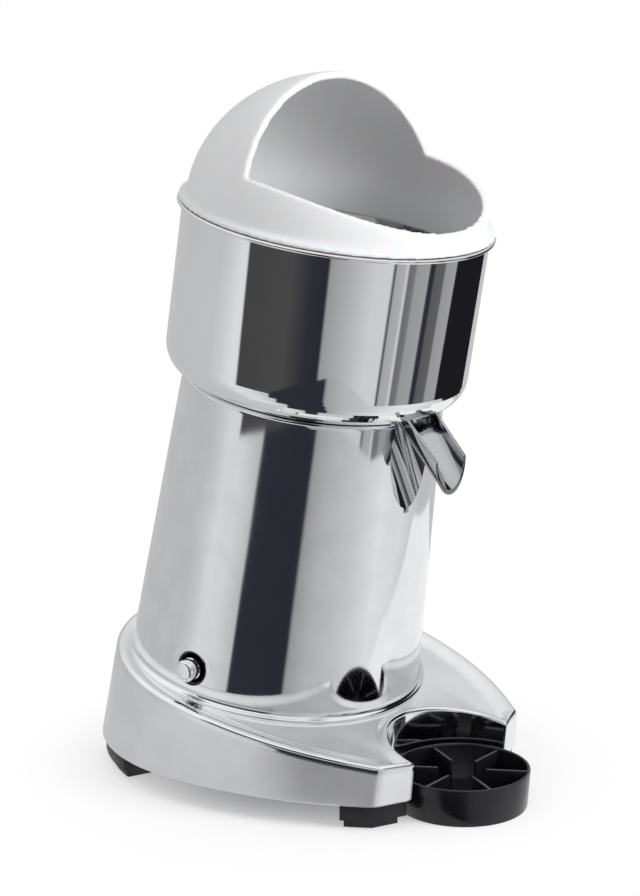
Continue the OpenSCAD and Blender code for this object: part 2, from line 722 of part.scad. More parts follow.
// Push switch in the tower's side
module switch_cup() color("#1c1c1f") at_switch() {
    translate([0, 0, cup_floor_z - cup_base_t]) tube(cup_flange_r, bush_r, cup_base_t);
    translate([0, 0, cup_floor_z - overrun / 2])
        tube(cup_d / 2, cup_d / 2 - cup_wall, cup_face - cup_floor_z - overrun / 2);
}
module switch_nut() color("#9da1a6") at_switch() translate([0, 0, cup_floor_z]) difference() {
    cylinder(r = nut_r, h = nut_t, $fn = 6);
    translate([0, 0, -overrun]) cylinder(r = bush_r, h = big);
}
module switch_body() color("#26262a") at_switch() translate([0, 0, cup_floor_z - cup_base_t]) difference() {
    union() {
        translate([0, 0, -switch_len]) cylinder(r = switch_r, h = switch_len);
        cylinder(r = bush_r, h = bush_h);
    }
    translate([0, 0, -switch_len * 0.75]) cylinder(r = bush_r - bush_wall, h = big);
}
module switch_button() color("#d5d8dc") at_switch() {
    translate([0, 0, cup_face + button_proud - button_h]) cylinder(r = button_r, h = button_h);
    translate([0, 0, stem_low_z])
        cylinder(r = bush_r - bush_wall - loose, h = cup_face + button_proud - button_h + overrun - stem_low_z);
}

// Electrical pieces on the bottom plate
module capacitor() color("#d8d9db") placed()
    translate([-cap_len / 2, cap_back, base_gap + plate_t + cap_r]) rotate([0, 90, 0]) {
        cylinder(r = cap_r, h = cap_len);
        translate([0, 0, cap_len]) cylinder(r = cap_r * 0.8, h = thread_h / 2);
    }
module capacitor_clip() color("#9da1a6") placed() translate([-clip_w / 2, cap_back, base_gap + plate_t]) {
    translate([0, 0, cap_r]) rotate([0, 90, 0]) difference() {
        tube(cap_r + clip_t, cap_r, clip_w);
        translate([0, -big / 2, -big / 2]) cube(big);
    }
    for (side = [-1, 1]) translate([0, side * (cap_r + clip_t / 2) - clip_t / 2, 0]) cube([clip_w, clip_t, cap_r]);
    for (side = [-1, 1]) translate([0, side * (cap_r + clip_w / 2) - clip_w / 2, 0]) cube([clip_w, clip_w, clip_t]);
}
module terminal_block() color("#e6e3d6") placed()
    translate([-base_r / 2, -base_r * 0.3, base_gap + plate_t]) difference() {
        cube([3 * block_pitch, 2 * block_pitch, block_pitch * 1.6]);
        for (i = [0 : 2], j = [0, 1]) translate([(i + 0.5) * block_pitch, (j * 1.1 + 0.45) * block_pitch, block_pitch])
            cylinder(r = screw_head_r, h = big);
    }
module cord_gland() color("#202022") placed() translate([0, base_r + gland_proud, gland_h]) rotate([90, 0, 0]) difference() {
    union() {
        cylinder(r = gland_r, h = gland_proud);
        cylinder(r = gland_hole_r, h = gland_proud + 2 * cast_wall);
    }
    translate([0, 0, -overrun]) cylinder(r = gland_hole_r / 2, h = big);
}

body_casting();
bottom_plate();
bottom_plate_screws();
front_left_foot();
front_right_foot();
rear_left_foot();
rear_right_foot();
foot_screws();
bowl_gasket();
shaft_seal();
stator_core();
upper_winding();
lower_winding();
upper_motor_shield();
lower_motor_shield();
motor_tie_bolts();
motor_bushes();
motor_screws();
upper_bearing();
lower_bearing();
capacitor();
capacitor_clip();
terminal_block();
cord_gland();
switch_cup();
switch_nut();
switch_body();
motor_shaft();
rotor_core();
cooling_fan();
slinger_disc();
drive_pin();
reamer();
bowl();
bowl_chimney();
spout();
strainer();
splash_guard();
drip_tray();
switch_button();
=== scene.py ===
import bpy
import bmesh
import math
from mathutils import Matrix, Vector


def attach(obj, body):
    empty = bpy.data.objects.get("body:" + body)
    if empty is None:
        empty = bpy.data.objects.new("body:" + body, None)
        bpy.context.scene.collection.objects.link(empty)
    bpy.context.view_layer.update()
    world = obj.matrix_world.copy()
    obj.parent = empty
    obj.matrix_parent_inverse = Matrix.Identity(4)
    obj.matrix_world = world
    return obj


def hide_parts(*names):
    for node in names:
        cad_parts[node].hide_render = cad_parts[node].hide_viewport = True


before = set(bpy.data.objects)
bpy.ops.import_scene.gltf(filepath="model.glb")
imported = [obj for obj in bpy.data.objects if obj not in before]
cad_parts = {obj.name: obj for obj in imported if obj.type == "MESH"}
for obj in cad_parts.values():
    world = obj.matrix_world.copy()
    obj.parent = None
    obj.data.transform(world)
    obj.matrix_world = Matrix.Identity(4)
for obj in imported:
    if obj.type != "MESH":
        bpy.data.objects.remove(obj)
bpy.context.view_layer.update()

MM = 0.001
LEAN = math.radians(10)
C10, S10 = math.cos(LEAN), math.sin(LEAN)
AXIS_Y = 43.75            # where the tower's axis meets the table
BASE_Y = 31.75            # the centre of the base's back arc
TOWER = Matrix.Scale(MM, 4) @ Matrix.Translation((0, AXIS_Y, 0)) @ Matrix.Rotation(LEAN, 4, "X")
BASE = Matrix.Scale(MM, 4) @ Matrix.Translation((0, BASE_Y, 0))

# Camera, at the photograph's angle
VIEW_FROM = (-0.9518, -0.8133, 0.4703)
VIEW_ALONG = (0.74008, 0.63342, -0.22596)
cam = bpy.data.objects.new("camera", bpy.data.cameras.new("camera"))
bpy.context.collection.objects.link(cam)
cam.data.lens, cam.data.sensor_width = 95.0, 36.0
cam.data.clip_start, cam.data.clip_end = 0.05, 20.0
cam.location = VIEW_FROM
cam.rotation_mode = "QUATERNION"
cam.rotation_quaternion = Vector(VIEW_ALONG).to_track_quat("-Z", "Y")
bpy.context.scene.camera = cam
bpy.context.scene.view_settings.view_transform = "Standard"


# Finishes
class Finish:
    """A node material, built up one step at a time on Object coordinates."""

    def __init__(self, name, color, rough, metal=0.0):
        self.material = bpy.data.materials.new(name)
        self.material.use_nodes = True
        self.tree = self.material.node_tree
        self.shader = self.tree.nodes["Principled BSDF"]
        self.shader.inputs["Base Color"].default_value = (*color, 1)
        self.shader.inputs["Roughness"].default_value = rough
        self.shader.inputs["Metallic"].default_value = metal
        self.place = self.tree.nodes.new("ShaderNodeTexCoord").outputs["Object"]

    def set(self, **values):
        for key, value in values.items():
            self.shader.inputs[key.replace("_", " ")].default_value = value
        return self

    def node(self, kind, **values):
        n = self.tree.nodes.new("ShaderNode" + kind)
        for key, value in values.items():
            if key in n.inputs:
                n.inputs[key].default_value = value
            else:
                setattr(n, key, value)
        return n

    def noise(self, scale, detail=4.0, stretch=(1, 1, 1)):
        mapping = self.node("Mapping", Scale=stretch)
        self.tree.links.new(self.place, mapping.inputs["Vector"])
        n = self.node("TexNoise", Scale=scale, Detail=detail)
        self.tree.links.new(mapping.outputs["Vector"], n.inputs["Vector"])
        return n.outputs["Fac"]

    def ramp(self, fac, stops):
        r = self.node("ValToRGB")
        e = r.color_ramp.elements
        while len(e) < len(stops):
            e.new(0.5)
        for i, (at, col) in enumerate(stops):
            e[i].position = at
            e[i].color = (*col, 1) if isinstance(col, tuple) else (col, col, col, 1)
        self.tree.links.new(fac, r.inputs["Fac"])
        return r.outputs["Color"]

    def link(self, out, name):
        self.tree.links.new(out, self.shader.inputs[name])
        return self

    def bump(self, fac, strength, distance):
        n = self.node("Bump", Strength=strength, Distance=distance)
        self.tree.links.new(fac, n.inputs["Height"])
        old = self.shader.inputs["Normal"]
        if old.is_linked:
            self.tree.links.new(old.links[0].from_socket, n.inputs["Normal"])
        self.tree.links.new(n.outputs["Normal"], old)
        return self


TRAY_AHEAD, WELL_R = 130.0, 40.0      # the tray well: its centre ahead of the back arc's, and its radius
RIM_MID, RIM_SLOPE = 57.3, 0.182      # the base's rim: its height at the back arc's centre, and its slope


def casting_metal():
    """Mirror polish on the tower, dish and tray well, and a softer sheen on the base's wall below the rim;
    the wall's slightly darker colour is partly its satin finish, partly painted shade.
    """
    f = Finish("polished_casting", (0.88, 0.885, 0.895), 0.10, 1.0)
    above = f.node("VectorMath", operation="DOT_PRODUCT")
    f.tree.links.new(f.place, above.inputs[0])
    above.inputs[1].default_value = (0, -RIM_SLOPE, 1)
    rim = (RIM_MID - RIM_SLOPE * BASE_Y) * MM
    share = f.node("MapRange", interpolation_type="SMOOTHSTEP")
    share.inputs["From Min"].default_value = rim - 5 * MM
    share.inputs["From Max"].default_value = rim - 3 * MM
    f.tree.links.new(above.outputs["Value"], share.inputs["Value"])
    flat = f.node("VectorMath", operation="MULTIPLY")
    f.tree.links.new(f.place, flat.inputs[0])
    flat.inputs[1].default_value = (1, 1, 0)
    off = f.node("VectorMath", operation="DISTANCE")
    f.tree.links.new(flat.outputs[0], off.inputs[0])
    off.inputs[1].default_value = (0, (BASE_Y - TRAY_AHEAD) * MM, 0)
    well = f.node("Math", operation="LESS_THAN")
    f.tree.links.new(off.outputs["Value"], well.inputs[0])
    well.inputs[1].default_value = (WELL_R + 0.6) * MM
    polished = f.node("Math", operation="MAXIMUM")
    f.tree.links.new(share.outputs[0], polished.inputs[0])
    f.tree.links.new(well.outputs[0], polished.inputs[1])
    mirror = f.ramp(f.noise(16, 5, (1, 1, 0.5)), [(0.30, 0.045), (0.70, 0.10)])
    satin = f.ramp(f.noise(26, 5, (1, 1, 0.6)), [(0.30, 0.26), (0.70, 0.38)])
    mix = f.node("Mix", data_type="RGBA")
    f.tree.links.new(polished.outputs[0], mix.inputs["Factor"])
    f.tree.links.new(satin, mix.inputs[6])
    f.tree.links.new(mirror, mix.inputs[7])
    f.link(mix.outputs[2], "Roughness")
    cloud = f.noise(60, 3)
    # the wall below the rim gets a slightly darker colour than the polished parts: partly its satin finish,
    # partly painted shade
    tone_and_shade = f.node("Mix", data_type="RGBA")
    f.tree.links.new(polished.outputs[0], tone_and_shade.inputs["Factor"])
    satin_tone_and_shade = f.ramp(cloud, [(0.3, (0.78, 0.785, 0.795)), (0.7, (0.83, 0.835, 0.845))])
    mirror_tone = f.ramp(cloud, [(0.3, (0.79, 0.795, 0.81)), (0.7, (0.86, 0.865, 0.88))])
    f.tree.links.new(satin_tone_and_shade, tone_and_shade.inputs[6])
    f.tree.links.new(mirror_tone, tone_and_shade.inputs[7])
    f.link(tone_and_shade.outputs[2], "Base Color")
    f.link(f.ramp(polished.outputs[0], [(0.0, 0.68), (1.0, 1.0)]), "Metallic")
    f.bump(f.noise(11, 2), 0.05, 0.004)
    return f.material


def bowl_metal():
    f = Finish("polished_steel", (0.88, 0.885, 0.89), 0.05, 1.0)
    f.link(f.ramp(f.noise(30, 4, (1, 1, 8)), [(0.3, 0.02), (0.7, 0.05)]), "Roughness")
    f.link(f.ramp(f.noise(8, 3), [(0.3, (0.85, 0.855, 0.86)), (0.7, (0.90, 0.905, 0.91))]), "Base Color")
    return f.material


def brushed(name, color, rough):
    f = Finish(name, color, rough, 1.0)
    streaks = f.noise(120, 3, (1, 1, 0.08))
    f.link(f.ramp(streaks, [(0.3, rough * 0.75), (0.7, min(1, rough * 1.3))]), "Roughness")
    f.bump(streaks, 0.15, 0.0003)
    return f.material


def milky_plastic():
    f = Finish("milky_plastic", (0.80, 0.81, 0.82), 0.42)
    f.set(Subsurface_Weight=0.2, Subsurface_Scale=0.004)
    f.link(f.ramp(f.noise(14, 3), [(0.3, (0.76, 0.77, 0.78)), (0.7, (0.79, 0.80, 0.81))]), "Base Color")
    f.link(f.ramp(f.noise(45, 4), [(0.3, 0.36), (0.7, 0.46)]), "Roughness")
    f.bump(f.noise(420, 2), 0.03, 0.0002)
    return f.material


def dark_plastic(name, color, rough, grain):
    f = Finish(name, color, rough)
    lighter = tuple(min(1, c * 1.6 + 0.002) for c in color)
    f.link(f.ramp(f.noise(35, 5), [(0.35, color), (0.75, lighter)]), "Base Color")
    f.link(f.ramp(f.noise(90, 4), [(0.3, rough * 0.8), (0.7, min(1, rough * 1.25))]), "Roughness")
    f.bump(f.noise(grain, 3), 0.10, 0.0003)
    return f.material


FINISH = {
    "cast": casting_metal(),
    "bowl": bowl_metal(),
    "strainer": brushed("strainer_steel", (0.62, 0.63, 0.64), 0.28),
    "plate": brushed("plate_steel", (0.42, 0.43, 0.45), 0.38),
    "screw": brushed("screw_steel", (0.55, 0.56, 0.58), 0.28),
    "shaft": brushed("shaft_steel", (0.62, 0.63, 0.65), 0.18),
    "core": brushed("core_steel", (0.22, 0.23, 0.25), 0.45),
    "copper": brushed("winding_copper", (0.60, 0.27, 0.10), 0.35),
    "shield": brushed("shield_metal", (0.50, 0.51, 0.53), 0.42),
    "chrome": brushed("button_chrome", (0.85, 0.86, 0.87), 0.07),
    "white": milky_plastic(),
    "tray": dark_plastic("tray_plastic", (0.0045, 0.0045, 0.0065), 0.20, 300),
    "spout": brushed("spout_steel", (0.50, 0.505, 0.52), 0.10),
    "rubber": dark_plastic("foot_rubber", (0.005, 0.005, 0.007), 0.45, 500),
    "black": dark_plastic("black_plastic", (0.010, 0.010, 0.012), 0.34, 350),
    "can": dark_plastic("can_plastic", (0.55, 0.55, 0.55), 0.35, 200),
    "block": dark_plastic("block_plastic", (0.52, 0.49, 0.38), 0.45, 200),
}
LOOK = {
    "cast": ["body_casting"],
    "bowl": ["bowl", "bowl_chimney"],
    "spout": ["spout"],
    "strainer": ["strainer"],
    "plate": ["bottom_plate", "capacitor_clip"],
    "screw": ["bottom_plate_screws", "foot_screws", "motor_tie_bolts", "motor_screws", "switch_nut"],
    "shaft": ["motor_shaft", "drive_pin"],
    "core": ["stator_core", "rotor_core"],
    "copper": ["upper_winding", "lower_winding"],
    "shield": ["upper_motor_shield", "lower_motor_shield"],
    "chrome": ["switch_button", "upper_bearing", "lower_bearing"],
    "white": ["reamer", "splash_guard"],
    "tray": ["drip_tray"],
    "rubber": ["front_left_foot", "front_right_foot", "rear_left_foot", "rear_right_foot", "bowl_gasket",
               "shaft_seal", "slinger_disc", "motor_bushes"],
    "black": ["cord_gland", "switch_cup", "switch_body", "cooling_fan"],
    "can": ["capacitor"],
    "block": ["terminal_block"],
}


def cad(name):
    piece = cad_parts[name]
    return piece if isinstance(piece, bpy.types.Object) else bpy.data.objects[name]


for key, names in LOOK.items():
    for name in names:
        cad(name).data.materials.clear()
        cad(name).data.materials.append(FINISH[key])


# Ways of making a piece
def made(name, bm, place=None):
    """Turns a bmesh in millimetres into an object that sits at the origin, in metres."""
    bmesh.ops.remove_doubles(bm, verts=bm.verts, dist=1e-4)
    if place is not None:
        bmesh.ops.transform(bm, matrix=place, verts=bm.verts)
    bmesh.ops.recalc_face_normals(bm, faces=bm.faces)
    mesh = bpy.data.meshes.new(name)
    bm.to_mesh(mesh)
    bm.free()
    piece = bpy.data.objects.new(name, mesh)
    bpy.context.collection.objects.link(piece)
    return piece


def outline(bm, points, closed=True):
    """Edges through the points, each vertex marked with its place in the row."""
    column = bm.verts.layers.int.get("column") or bm.verts.layers.int.new("column")
    verts = [bm.verts.new(p) for p in points]
    for i, v in enumerate(verts):
        v[column] = i
    pairs = list(zip(verts, verts[1:]))
    if closed:
        pairs.append((verts[-1], verts[0]))
    return [bm.edges.new(pair) for pair in pairs]


def drawn_on(bm, edges, points):
    """Extrudes a row of edges, and moves each new vertex to its own point."""
    column = bm.verts.layers.int["column"]
    geom = bmesh.ops.extrude_edge_only(bm, edges=edges)["geom"]
    for v in geom:
        if isinstance(v, bmesh.types.BMVert):
            v.co = points[v[column]]
    return [e for e in geom if isinstance(e, bmesh.types.BMEdge) and e.is_boundary]


def lofted(name, rows, place):
    """A closed solid through rows of points, capped at both ends."""
    bm = bmesh.new()
    first = outline(bm, rows[0])
    bmesh.ops.edgeloop_fill(bm, edges=first)
    edges = first
    for row in rows[1:]:
        edges = drawn_on(bm, edges, row)
    bmesh.ops.edgeloop_fill(bm, edges=edges)
    return made(name, bm, place)


def turned(name, profile, place, steps=160):
    """A closed profile of (radius, height) pairs spun about the upright axis."""
    bm = bmesh.new()
    edges = outline(bm, [(r, 0, h) for r, h in profile])
    bmesh.ops.spin(bm, geom=bm.verts[:] + edges, cent=(0, 0, 0), axis=(0, 0, 1), dvec=(0, 0, 0),
                   angle=2 * math.pi, steps=steps, use_merge=True, use_duplicate=False)
    return made(name, bm, place)


def rod(radius, low, high, place, steps=48):
    """A plain round bar along the upright axis, for cutting and joining."""
    bm = bmesh.new()
    bmesh.ops.create_cone(bm, cap_ends=True, segments=steps, radius1=radius, radius2=radius, depth=high - low,
                          matrix=Matrix.Translation((0, 0, (low + high) / 2)))
    return made("rod", bm, place)


def block(corner, size, place, round_by=0.0):
    bm = bmesh.new()
    middle = Vector(corner) + Vector(size) / 2
    bmesh.ops.create_cube(bm, size=1, matrix=Matrix.Translation(middle) @ Matrix.Diagonal((*size, 1)))
    if round_by:
        bmesh.ops.bevel(bm, geom=bm.edges[:], offset=round_by, segments=2, profile=0.5, material=-1,
                        affect="EDGES")
    return made("block", bm, place)


def baked(piece, kind, **values):
    """Adds a modifier, and keeps its result in the piece's mesh."""
    modifier = piece.modifiers.new(kind.lower(), kind)
    for key, value in values.items():
        setattr(modifier, key, value)
    bpy.context.view_layer.update()
    result = bpy.data.meshes.new_from_object(piece.evaluated_get(bpy.context.evaluated_depsgraph_get()))
    piece.modifiers.clear()
    old, piece.data = piece.data, result
    bpy.data.meshes.remove(old)
    return piece


def joined(piece, *others, how="UNION"):
    for other in others:
        baked(piece, "BOOLEAN", object=other, operation=how, solver="MANIFOLD")
        bpy.data.objects.remove(other)
    return piece


def cut(piece, *tools):
    return joined(piece, *tools, how="DIFFERENCE")


def finished(piece, name, body, node, finish, sharp=32):
    """Names a piece, gives it its finish, and lets it stand for its CAD node."""
    piece.name = name
    piece.data.name = name
    piece.data.materials.clear()
    piece.data.materials.append(FINISH[finish])
    piece.data.shade_smooth()
    piece.data.set_sharp_from_angle(angle=math.radians(sharp))
    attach(piece, body)
    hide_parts(node)
    return piece


# The cast body: tower and horseshoe base in one
BASE_R, REACH, HALF, NOSE = 100.0, 121.0, 61.2, 7.5
SIDE_IN = BASE_R - HALF
SIDE_R = (SIDE_IN ** 2 + REACH ** 2) / (2 * SIDE_IN)
LOW = 13.0
WALL = 5.0
DRAFT = 0.045             # how much the base's wall draws in for each millimetre of height
NOSE_LEAN = 0.09          # forward slope of the prongs' ends; the rest leans with the tower
DISH = 2.2                # depth of the dish between the rim and the tower's foot
TAPER = 0.0613
SEAT_H = 220.0
TOP_R, TOP_H = 71.0, 219.4
SCOOP_R, SCOOP_H, SCOOP_TURN = 15.7, 171.5, math.radians(35)
SWITCH_H, SWITCH_TURN = 71.6, math.radians(84.5)
PLATE_LOW_H = 211.7
SLIVER = 0.01             # points of the casting closer than this are one
PAST_TOP, PAST_RIM, PAST_WALL = 240.0, 90.0, 120.0    # outside the metal, where cuts and untrimmed bosses end
PILLARS = (46, 4, 45)     # the motor's pillars: radius of their ring, count, and turn of the first
PILLAR_R, PILLAR_LOW_H, PILLAR_BORE_R, PILLAR_BORE_LOW_H = 6, 187.7, 2, 180
BOSS_R, BOSS_INSET = 6, 2.5
GLAND_H, GLAND_R, GLAND_LOW, GLAND_BORE_R = 37.0, 11, 86, 6
SWITCH_BOSS_R, SWITCH_BOSS_LOW, SWITCH_BORE_R = 13, 62.1, 9.5
SHAFT_BORE_R, SEAT_RECESS_R, SEAT_RECESS_H = 13, 64, 217.7
FLUTE_RUN, FLUTE_WALL = 142, 4


def tower_r(h):
    return TOP_R + (SEAT_H - h) * TAPER


def rim(drop):
    return lambda y: RIM_MID + RIM_SLOPE * y - drop


def level(z):
    return lambda y: z


def leaned(x, y, height, nose=False):
    """A point of the outer wall, which leans forward as it rises to the height of its row."""
    share = min(1.0, max(0.0, (y + REACH) / (0.5 * REACH)))
    slope = NOSE_LEAN if nose else NOSE_LEAN + (S10 / C10 - NOSE_LEAN) * share
    at = y
    for _ in range(5):
        at = y - slope * (height(at) - LOW)
    return Vector((x, at, height(at)))


def wall_point(turn, inset, height, side):
    """A point on the back arc, or on the left side arc, drawn in by the draft at its height."""
    rise = height(-REACH * 0.5 if side else BASE_R * math.sin(turn)) - LOW
    drawn = inset + DRAFT * max(0.0, rise)
    if side:
        r = SIDE_R - drawn
        return leaned(SIDE_R - BASE_R - r * math.cos(turn), -r * math.sin(turn), height)
    r = BASE_R - drawn
    return leaned(-r * math.cos(turn), r * math.sin(turn), height)


def soft_corner(a, corner, b, count):
    """Points of a round corner from a to b, without the two ends."""
    row = []
    for i in range(1, count):
        t = i / count
        row.append(a * (1 - t) ** 2 + corner * 2 * t * (1 - t) + b * t ** 2)
    return row


def horseshoe(insets, heights):
    """The base's outline, once round; wall, prong ends and tray well each have an inset and a height."""
    wall_in, nose_in, well_in = insets
    wall_h, nose_h, well_h = heights
    back = [wall_point(math.radians(90 - 3 * i), wall_in, wall_h, False) for i in range(0, 31)]
    end = math.asin((REACH - nose_in) / (SIDE_R - wall_in))
    side = [wall_point(end * 0.975 * i / 24, wall_in, wall_h, True) for i in range(1, 25)]
    outer = wall_point(end, wall_in, wall_h, True)
    outer = leaned(outer.x, -REACH + nose_in, nose_h, nose=True)
    r = WELL_R + well_in
    tip = leaned(0, -REACH - NOSE + nose_in, nose_h, nose=True)
    inner = Vector((-math.sqrt(r * r - (tip.y + TRAY_AHEAD) ** 2), tip.y, tip.z))
    start = math.asin((tip.y + TRAY_AHEAD) / r) + math.radians(3)
    well = []
    for i in range(0, 29):
        turn = start + (math.pi / 2 - start) * i / 28
        y = -TRAY_AHEAD + r * math.sin(turn)
        well.append(Vector((-r * math.cos(turn), y, well_h(y))))
    nose = [outer.lerp(inner, t) for t in (0.14, 0.32, 0.5, 0.68, 0.88)]
    left = back + side + soft_corner(side[-1], outer, nose[0], 6) + nose
    left += soft_corner(nose[-1], inner, well[0], 5) + well
    right = [Vector((-p.x, p.y, p.z)) for p in left[1:-1]]
    return left + right[::-1]


def base_shape(inset, low, drop):
    """A plain horseshoe that leans as the base does, for hollowing it out and for trimming its bosses."""
    rows = [horseshoe((inset,) * 3, (level(low),) * 3), horseshoe((inset,) * 3, (rim(drop),) * 3)]
    return lofted("base_shape", rows, BASE)


def base_block():
    rows = [horseshoe((0.8,) * 3, (level(LOW),) * 3), horseshoe((0,) * 3, (level(LOW + 0.8),) * 3),
            horseshoe((0,) * 3, (level(LOW + 6),) * 3)]
    wall_round, nose_round, well_round = rounds = (2.6, 2.0, 1.6)
    for step in range(0, 11):
        turn = math.radians(9 * step)
        out, up = 1 - math.cos(turn), 1 - math.sin(turn)
        rows.append(horseshoe([r * out for r in rounds], [rim(r * up) for r in rounds]))
    wall_run, nose_run, well_run = 12.0, 6.0, 5.5
    for i in range(1, 9):
        t = i / 8
        fall = DISH * t * t * (3 - 2 * t)
        insets = (wall_round + wall_run * t, nose_round + nose_run * t, well_round + well_run * t)
        rows.append(horseshoe(insets, (rim(fall),) * 3))
    return lofted("base", rows, BASE)


def tower_block():
    foot_r, foot_h = tower_r(60), 60.0
    edge = 3.0
    profile = [(0, 44), (84.2, 44), (84.2, 56.2), (84.05, 56.75), (83.6, 57.15), (83.0, 57.35), (82.4, 57.6),
               (81.9, 58.0), (81.5, 58.6), (81.2, 59.3), (foot_r + 0.1, foot_h)]
    profile += [(tower_r(h), h) for h in (60.3, *range(64, 216, 4), TOP_H - edge)]
    for turn in range(9, 91, 9):
        a = math.radians(turn)
        profile.append((tower_r(TOP_H - edge) - edge * (1 - math.cos(a)), TOP_H - edge * (1 - math.sin(a))))
    profile.append((0, TOP_H))
    return turned("tower", profile, TOWER, 192)


def around(radius, count, turn, h=0.0):
    for i in range(count):
        a = math.radians(turn + 360 * i / count)
        yield Matrix.Translation((radius * math.cos(a), radius * math.sin(a), h))


SWITCH = (TOWER @ Matrix.Translation((0, 0, SWITCH_H)) @ Matrix.Rotation(-math.pi / 2 - SWITCH_TURN, 4, "Z")
          @ Matrix.Rotation(math.pi / 2, 4, "Y"))
FLUTE = (TOWER @ Matrix.Translation((0, -tower_r(SCOOP_H), SCOOP_H)) @ Matrix.Rotation(-SCOOP_TURN, 4, "X")
         @ Matrix.Translation((0, -SCOOP_R, 0)))
BOSSES = [(86, 6, 2.0), (34, 80, 2.0), (78, -58, 2.0), (51.8, -111.8, 2.5), (72.1, 48.65, 2.5)]


def without_slivers(piece):
    """Merges the points that the cuts leave close together, and splits the many-sided faces."""
    bm = bmesh.new()
    bm.from_mesh(piece.data)
    bmesh.ops.remove_doubles(bm, verts=bm.verts, dist=SLIVER * MM)
    bmesh.ops.dissolve_degenerate(bm, dist=SLIVER / 2 * MM, edges=bm.edges)
    bmesh.ops.triangulate(bm, faces=[f for f in bm.faces if len(f.verts) > 4])
    bm.to_mesh(piece.data)
    bm.free()


def casting():
    body = joined(base_block(), tower_block())
    gland = BASE @ Matrix.Translation((0, 0, GLAND_H)) @ Matrix.Rotation(-math.pi / 2, 4, "X")
    joined(body, rod(GLAND_R, GLAND_LOW, BASE_R, gland, 64))
    hollow = base_shape(WALL, LOW - 1, DISH + WALL)
    low_r, high_r = tower_r(0) - WALL, tower_r(PLATE_LOW_H) - WALL
    cone = turned("cone", [(0, 0), (low_r, 0), (high_r, PLATE_LOW_H), (0, PLATE_LOW_H)], TOWER, 96)
    cut(cone, rod(SCOOP_R + FLUTE_WALL, -FLUTE_RUN, FLUTE_RUN, FLUTE, 64))
    for place in around(*PILLARS):
        cut(cone, rod(PILLAR_R, PILLAR_LOW_H, PAST_TOP, TOWER @ place))
    joined(hollow, cone)
    cut(body, hollow)
    for x, y, r in BOSSES:
        for side in (-1, 1):
            boss = rod(BOSS_R, LOW + 2, PAST_RIM, BASE @ Matrix.Translation((side * x, y, 0)))
            joined(boss, base_shape(BOSS_INSET, LOW + 2, DISH + BOSS_INSET), how="INTERSECT")
            joined(body, boss)
    joined(body, rod(SWITCH_BOSS_R, SWITCH_BOSS_LOW, tower_r(SWITCH_H) - 1, SWITCH, 64))
    cut(body, rod(SCOOP_R, -FLUTE_RUN, FLUTE_RUN, FLUTE, 128))
    cut(body, rod(SHAFT_BORE_R, PLATE_LOW_H - 1, PAST_TOP, TOWER, 64),
        rod(SEAT_RECESS_R, SEAT_RECESS_H, PAST_TOP, TOWER, 128))
    for place in around(*PILLARS):
        cut(body, rod(PILLAR_BORE_R, PILLAR_BORE_LOW_H, PLATE_LOW_H - 14, TOWER @ place))
    for x, y, r in BOSSES:
        for side in (-1, 1):
            cut(body, rod(r, 0, LOW + 12, BASE @ Matrix.Translation((side * x, y, 0))))
    cut(body, rod(SWITCH_BORE_R, SWITCH_BOSS_LOW - 1, PAST_WALL, SWITCH, 64),
        rod(GLAND_BORE_R, GLAND_LOW - 6, BASE_R + 10, gland, 48))
    without_slivers(body)
    return finished(body, "cast_body", "housing", "body_casting", "cast")


def true_normals(piece):
    """Gives the tower's wall and the flute the normals of a true cone and bore, for clean reflections."""
    mesh = piece.data
    to_tower, to_flute = TOWER.inverted(), FLUTE.inverted()
    out_tower, out_flute = TOWER.to_3x3().normalized(), FLUTE.to_3x3().normalized()
    normals = [Vector(n.vector) for n in mesh.corner_normals]
    for loop in mesh.loops:
        co = mesh.vertices[loop.vertex_index].co
        a, b = to_tower @ co, to_flute @ co
        if 60.2 < a.z < TOP_H - 2.9 and abs(math.hypot(a.x, a.y) - tower_r(a.z)) < 0.03:
            true = out_tower @ Vector((a.x, a.y, tower_r(a.z) * TAPER)).normalized()
            if true.dot(normals[loop.index]) > 0.97:
                normals[loop.index] = true
                continue
        if abs(math.hypot(b.x, b.y) - SCOOP_R) < 0.03:
            true = out_flute @ Vector((-b.x, -b.y, 0)).normalized()
            if true.dot(normals[loop.index]) > 0.9:
                normals[loop.index] = true
    mesh.normals_split_custom_set(normals)


true_normals(casting())


# The splash guard: a dome on a flange, with an arch cut out of its front
GUARD_H, GUARD_R, GUARD_RISE, GUARD_WALL = 313.4, 80.7, 74.0, 4.0
ARCH_FRONT, ARCH_LEAN = 5.8, math.radians(16.5)
LIP_SIDE, LIP_FRONT, LIP_BULGE = 25.5, 9.0, 4.0


